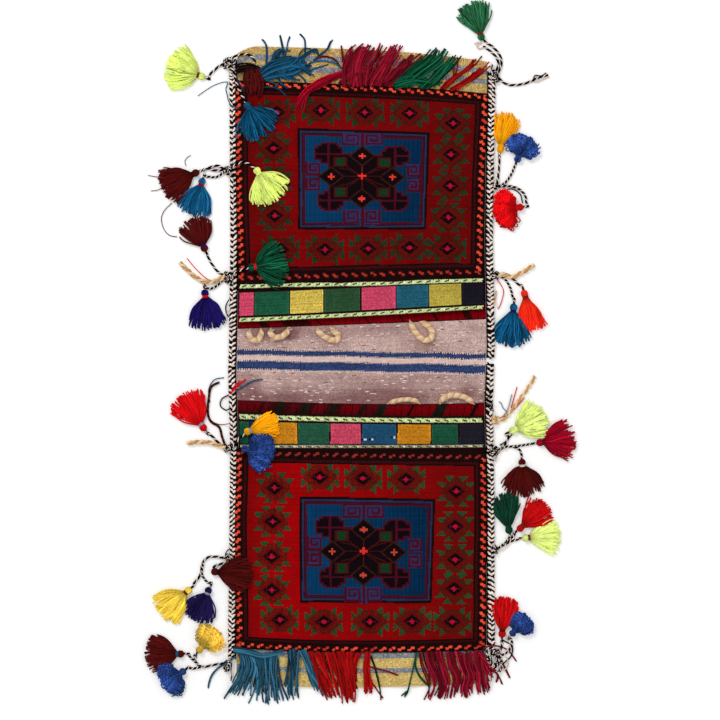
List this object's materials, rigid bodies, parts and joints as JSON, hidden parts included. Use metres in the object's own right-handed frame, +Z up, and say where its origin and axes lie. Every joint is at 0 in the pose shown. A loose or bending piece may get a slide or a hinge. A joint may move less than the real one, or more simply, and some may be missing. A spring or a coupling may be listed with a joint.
{
  "type": "double saddle bag",
  "caption": "Woven double saddle bag lying open and flat, with two pouches joined by a bridge, lifting mouth edges, plaited side edges and tassels on cords.",
  "frame": {"origin": "middle of the bridge's underside, where the bag would lie over a saddle", "axes": "+X across the bag, +Y along it towards the upper pouch of the picture, +Z up out of the cloth"},
  "size_m": [0.7462, 1.2182, 0.0315],
  "materials": {
    "mauve": "flat woven wool with stripes",
    "ochre": "flat woven wool with stripes",
    "dark_red": "wool weave with a raised knotted pattern",
    "bright_red": "wool weave with a raised knotted pattern",
    "band": "woven wool in blocks of colour",
    "braid": "two coloured plaited wool",
    "tan": "plaited wool",
    "cord": "twisted black and white wool",
    "lime": "loose wool yarn",
    "teal": "loose wool yarn",
    "maroon": "loose wool yarn",
    "blue": "loose wool yarn",
    "green": "loose wool yarn",
    "indigo": "loose wool yarn",
    "red": "loose wool yarn",
    "orange": "loose wool yarn",
    "yellow": "loose wool yarn",
    "crimson": "loose wool yarn"
  },
  "bodies": {
    "bridge": {"bridge": "mauve", "left_bridge_braid": "braid", "right_bridge_braid": "braid"},
    "upper_pouch": {"upper_back": "ochre", "upper_face": "dark_red", "upper_fringe": "teal", "left_upper_braid": "braid", "right_upper_braid": "braid"},
    "lower_pouch": {"lower_back": "ochre", "lower_face": "bright_red", "lower_fringe": "crimson", "left_lower_braid": "braid", "right_lower_braid": "braid"},
    "upper_mouth": {"upper_mouth_band": "band"},
    "lower_mouth": {"lower_mouth_band": "band"},
    "upper_loops": {"upper_closure_cord": "tan"},
    "lower_loops": {"lower_closure_cord": "tan"},
    "left_corner_tassels": {"left_corner_cord": "cord", "lime_tassel_left_corner": "lime"},
    "left_upper_tassels": {"left_upper_cord": "cord", "maroon_tassel_left_upper": "maroon", "blue_tassel_left_upper": "blue"},
    "left_mouth_tassels": {"left_mouth_cord": "cord", "maroon_tassel_left_mouth": "maroon", "indigo_tassel_left_mouth": "indigo"},
    "left_lower_mouth_tassels": {"left_lower_mouth_cord": "cord", "red_tassel_left_lower_mouth": "red"},
    "left_lower_tassels": {"left_lower_cord": "cord", "yellow_tassel_left_lower": "yellow", "indigo_tassel_left_lower": "indigo"},
    "left_foot_tassels": {"left_foot_cord": "cord", "yellow_tassel_left_foot": "yellow", "maroon_tassel_left_foot": "maroon", "blue_tassel_left_foot": "blue"},
    "right_corner_tassels": {"right_corner_tail": "cord", "green_tassel_right_corner": "green"},
    "right_upper_tassels": {"right_upper_cord": "cord", "orange_tassel_right_upper": "orange", "blue_tassel_right_upper": "blue", "red_tassel_right_upper": "red"},
    "right_mouth_tassels": {"right_mouth_cord": "cord", "blue_tassel_right_mouth": "blue", "orange_tassel_right_mouth": "orange"},
    "right_rope": {"right_rope_cord": "tan"},
    "right_lower_mouth_tassels": {"right_lower_mouth_cord": "cord", "lime_tassel_right_lower_mouth": "lime", "crimson_tassel_right_lower_mouth": "crimson", "maroon_tassel_right_lower_mouth": "maroon"},
    "right_lower_tassels": {"right_lower_cord": "cord", "green_tassel_right_lower": "green", "red_tassel_right_lower": "red", "lime_tassel_right_lower": "lime"},
    "right_foot_tassels": {"right_foot_cord": "cord", "red_tassel_right_foot": "red", "blue_tassel_right_foot": "blue"},
    "teal_face_tassel": {"teal_tassel_on_face": "teal"},
    "lime_face_tassel": {"lime_tassel_on_face": "lime"},
    "green_face_tassel": {"green_tassel_on_face": "green"},
    "braid_tassel": {"maroon_tassel_across_braid": "maroon"},
    "mouth_tassels": {"tassel_pair_on_mouth": "orange"}
  },
  "joints": [
    {"name": "upper_fold", "type": "hinge", "parent": "bridge", "child": "upper_pouch", "pos_m": [0, 0.0695, 0], "axis": [-0.9991, -0.0431, 0], "range_deg": [0, 90]},
    {"name": "upper_mouth_lift", "type": "hinge", "parent": "upper_pouch", "child": "upper_mouth", "pos_m": [0, 0.1395, 0.0143], "axis": [-0.9995, -0.0327, 0], "range_deg": [0, 40]},
    {"name": "upper_loop_flip", "type": "hinge", "parent": "upper_pouch", "child": "upper_loops", "pos_m": [0, 0.075, 0.0059], "axis": [-0.9991, -0.0423, 0], "range_deg": [0, 90]},
    {"name": "lower_fold", "type": "hinge", "parent": "bridge", "child": "lower_pouch", "pos_m": [0, -0.0695, 0], "axis": [1, 0.0056, 0], "range_deg": [0, 90]},
    {"name": "lower_mouth_lift", "type": "hinge", "parent": "lower_pouch", "child": "lower_mouth", "pos_m": [0, -0.146, 0.0143], "axis": [1, 0.0047, 0], "range_deg": [0, 40]},
    {"name": "lower_loop_flip", "type": "hinge", "parent": "lower_pouch", "child": "lower_loops", "pos_m": [0, -0.075, 0.0059], "axis": [1, 0.0055, 0], "range_deg": [0, 90]},
    {"name": "left_corner_swing", "type": "hinge", "parent": "upper_pouch", "child": "left_corner_tassels", "pos_m": [-0.2368, 0.52752, 0.012], "axis": [0, 1, 0], "range_deg": [0, 60]},
    {"name": "left_upper_swing", "type": "hinge", "parent": "upper_pouch", "child": "left_upper_tassels", "pos_m": [-0.2368, 0.33973, 0.012], "axis": [0, 1, 0], "range_deg": [0, 60]},
    {"name": "left_mouth_swing", "type": "hinge", "parent": "upper_pouch", "child": "left_mouth_tassels", "pos_m": [-0.2368, 0.1558, 0.012], "axis": [0, 1, 0], "range_deg": [0, 60]},
    {"name": "left_lower_mouth_swing", "type": "hinge", "parent": "lower_pouch", "child": "left_lower_mouth_tassels", "pos_m": [-0.2368, -0.14558, 0.012], "axis": [0, 1, 0], "range_deg": [0, 60]},
    {"name": "left_lower_swing", "type": "hinge", "parent": "lower_pouch", "child": "left_lower_tassels", "pos_m": [-0.2368, -0.33821, 0.012], "axis": [0, 1, 0], "range_deg": [0, 60]},
    {"name": "left_foot_swing", "type": "hinge", "parent": "lower_pouch", "child": "left_foot_tassels", "pos_m": [-0.2368, -0.52094, 0.012], "axis": [0, 1, 0], "range_deg": [0, 60]},
    {"name": "right_corner_swing", "type": "hinge", "parent": "upper_pouch", "child": "right_corner_tassels", "pos_m": [0.2368, 0.50473, 0.012], "axis": [0, -1, 0], "range_deg": [0, 60]},
    {"name": "right_upper_swing", "type": "hinge", "parent": "upper_pouch", "child": "right_upper_tassels", "pos_m": [0.2368, 0.31144, 0.012], "axis": [0, -1, 0], "range_deg": [0, 60]},
    {"name": "right_mouth_swing", "type": "hinge", "parent": "upper_pouch", "child": "right_mouth_tassels", "pos_m": [0.2368, 0.15726, 0.012], "axis": [0, -1, 0], "range_deg": [0, 60]},
    {"name": "right_rope_swing", "type": "hinge", "parent": "lower_pouch", "child": "right_rope", "pos_m": [0.2368, -0.09608, 0.012], "axis": [0, -1, 0], "range_deg": [0, 60]},
    {"name": "right_lower_mouth_swing", "type": "hinge", "parent": "lower_pouch", "child": "right_lower_mouth_tassels", "pos_m": [0.2368, -0.15034, 0.012], "axis": [0, -1, 0], "range_deg": [0, 60]},
    {"name": "right_lower_swing", "type": "hinge", "parent": "lower_pouch", "child": "right_lower_tassels", "pos_m": [0.2368, -0.32208, 0.012], "axis": [0, -1, 0], "range_deg": [0, 60]},
    {"name": "right_foot_swing", "type": "hinge", "parent": "lower_pouch", "child": "right_foot_tassels", "pos_m": [0.2368, -0.51074, 0.012], "axis": [0, -1, 0], "range_deg": [0, 60]},
    {"name": "teal_face_swing", "type": "hinge", "parent": "upper_pouch", "child": "teal_face_tassel", "pos_m": [-0.2368, 0.52752, 0.012], "axis": [0, -1, 0], "range_deg": [0, 80]},
    {"name": "lime_face_swing", "type": "hinge", "parent": "upper_pouch", "child": "lime_face_tassel", "pos_m": [-0.2368, 0.33973, 0.012], "axis": [0, -1, 0], "range_deg": [0, 80]},
    {"name": "green_face_swing", "type": "hinge", "parent": "upper_pouch", "child": "green_face_tassel", "pos_m": [-0.2368, 0.1558, 0.012], "axis": [0, -1, 0], "range_deg": [0, 80]},
    {"name": "braid_tassel_swing", "type": "hinge", "parent": "lower_pouch", "child": "braid_tassel", "pos_m": [-0.26655, -0.36096, 0.006], "axis": [0, -1, 0], "range_deg": [0, 50]},
    {"name": "mouth_tassels_swing", "type": "hinge", "parent": "lower_pouch", "child": "mouth_tassels", "pos_m": [-0.2368, -0.14558, 0.012], "axis": [0, -1, 0], "range_deg": [0, 80]}
  ],
  "couplings": [
    {"joint": "mouth_tassels_swing", "follows": "lower_mouth_lift", "ratio": 2}
  ]
}
